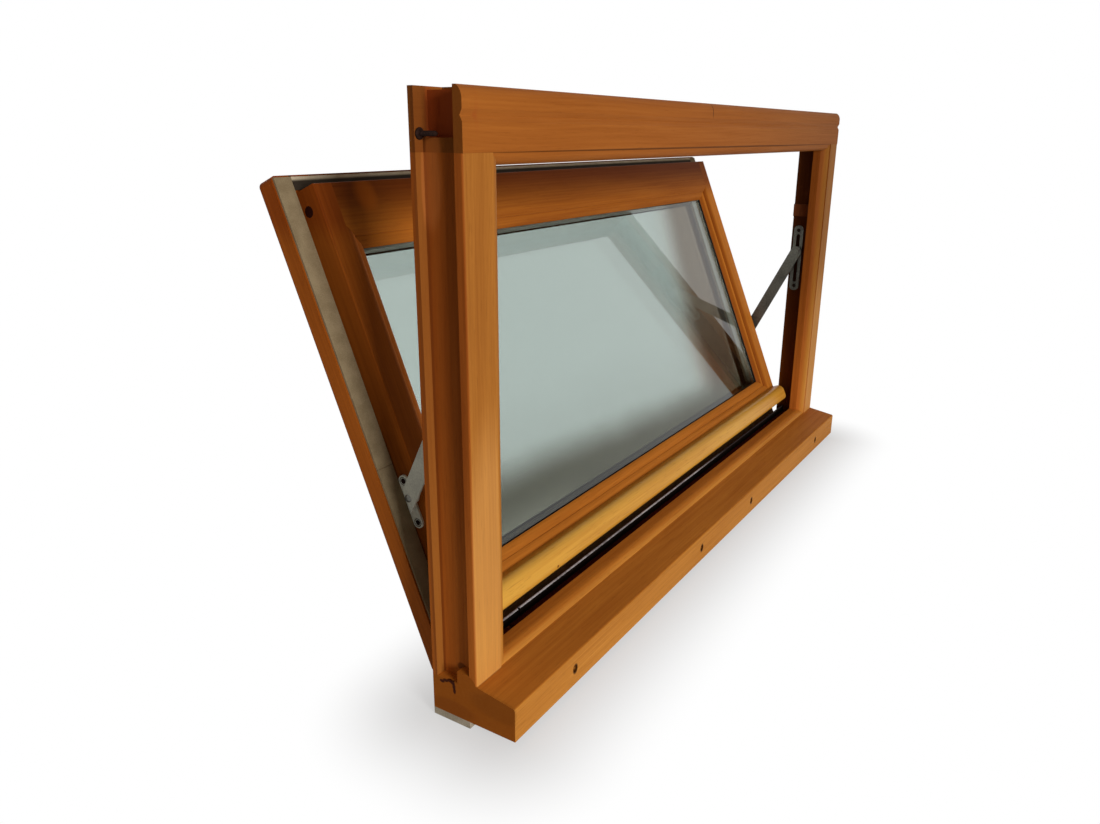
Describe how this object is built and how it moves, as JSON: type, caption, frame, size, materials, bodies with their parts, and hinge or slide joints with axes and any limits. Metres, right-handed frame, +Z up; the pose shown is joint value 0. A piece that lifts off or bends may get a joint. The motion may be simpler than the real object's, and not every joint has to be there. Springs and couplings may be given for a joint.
{
  "type": "timber hopper window",
  "caption": "Stained timber window frame with a bottom-hinged glazed sash tilted into the room on slotted steel side stays, with a sloping sill and a weather bar.",
  "frame": {"origin": "on the bedding face under the sill, at mid width and mid depth of the frame", "axes": "+X along the width, to the right seen from outside; +Y from outside into the room; +Z up"},
  "size_m": [1.1, 0.3613, 0.614],
  "materials": {
    "bead_timber": "satin orange-brown stain",
    "bedding": "matt grey-beige",
    "black_rail": "matt black",
    "block_timber": "bare, lightly stained",
    "bright_strip": "bright",
    "foam_seal": "matt beige",
    "frame_timber": "satin orange-brown stain, fine straight grain",
    "gasket": "matt black",
    "glass": "clear float glass, slightly green",
    "handle_metal": "satin bronze grey",
    "hinge_steel": "zinc plated",
    "plug_timber": "dark end-grain plug",
    "sash_timber": "satin red-brown stain, fine straight grain",
    "spacer": "mill grey",
    "stay_steel": "zinc plated, dull grey",
    "weather_bar_timber": "glossy golden varnish"
  },
  "bodies": {
    "root": {"bead_bottom": "bead_timber", "bead_left": "bead_timber", "bead_right": "bead_timber", "bead_top": "bead_timber", "bedding_strip": "bedding", "bottom_seal": "foam_seal", "handle_lever": "handle_metal", "handle_plate": "handle_metal", "head": "frame_timber", "inner_gasket": "gasket", "inner_pane": "glass", "left_corner_plug": "plug_timber", "left_hinge_frame_leaf": "hinge_steel", "left_hinge_sash_leaf": "hinge_steel", "left_jamb": "frame_timber", "left_lower_seal": "foam_seal", "left_rebate_block": "block_timber", "left_stay_arm": "stay_steel", "left_stay_plate": "stay_steel", "left_stay_slider": "stay_steel", "left_stay_track": "stay_steel", "left_upper_seal": "foam_seal", "outer_gasket": "gasket", "outer_pane": "glass", "pane_spacer": "spacer", "right_corner_plug": "plug_timber", "right_hinge_frame_leaf": "hinge_steel", "right_hinge_sash_leaf": "hinge_steel", "right_jamb": "frame_timber", "right_rebate_block": "block_timber", "right_seal": "foam_seal", "right_stay_arm": "stay_steel", "right_stay_plate": "stay_steel", "right_stay_slider": "stay_steel", "right_stay_track": "stay_steel", "sash_bottom_rail": "sash_timber", "sash_left_stile": "sash_timber", "sash_right_stile": "sash_timber", "sash_top_rail": "sash_timber", "sill": "frame_timber", "threshold_rail": "black_rail", "threshold_strip": "bright_strip", "top_seal": "foam_seal", "weather_bar": "weather_bar_timber"}
  },
  "joints": []
}
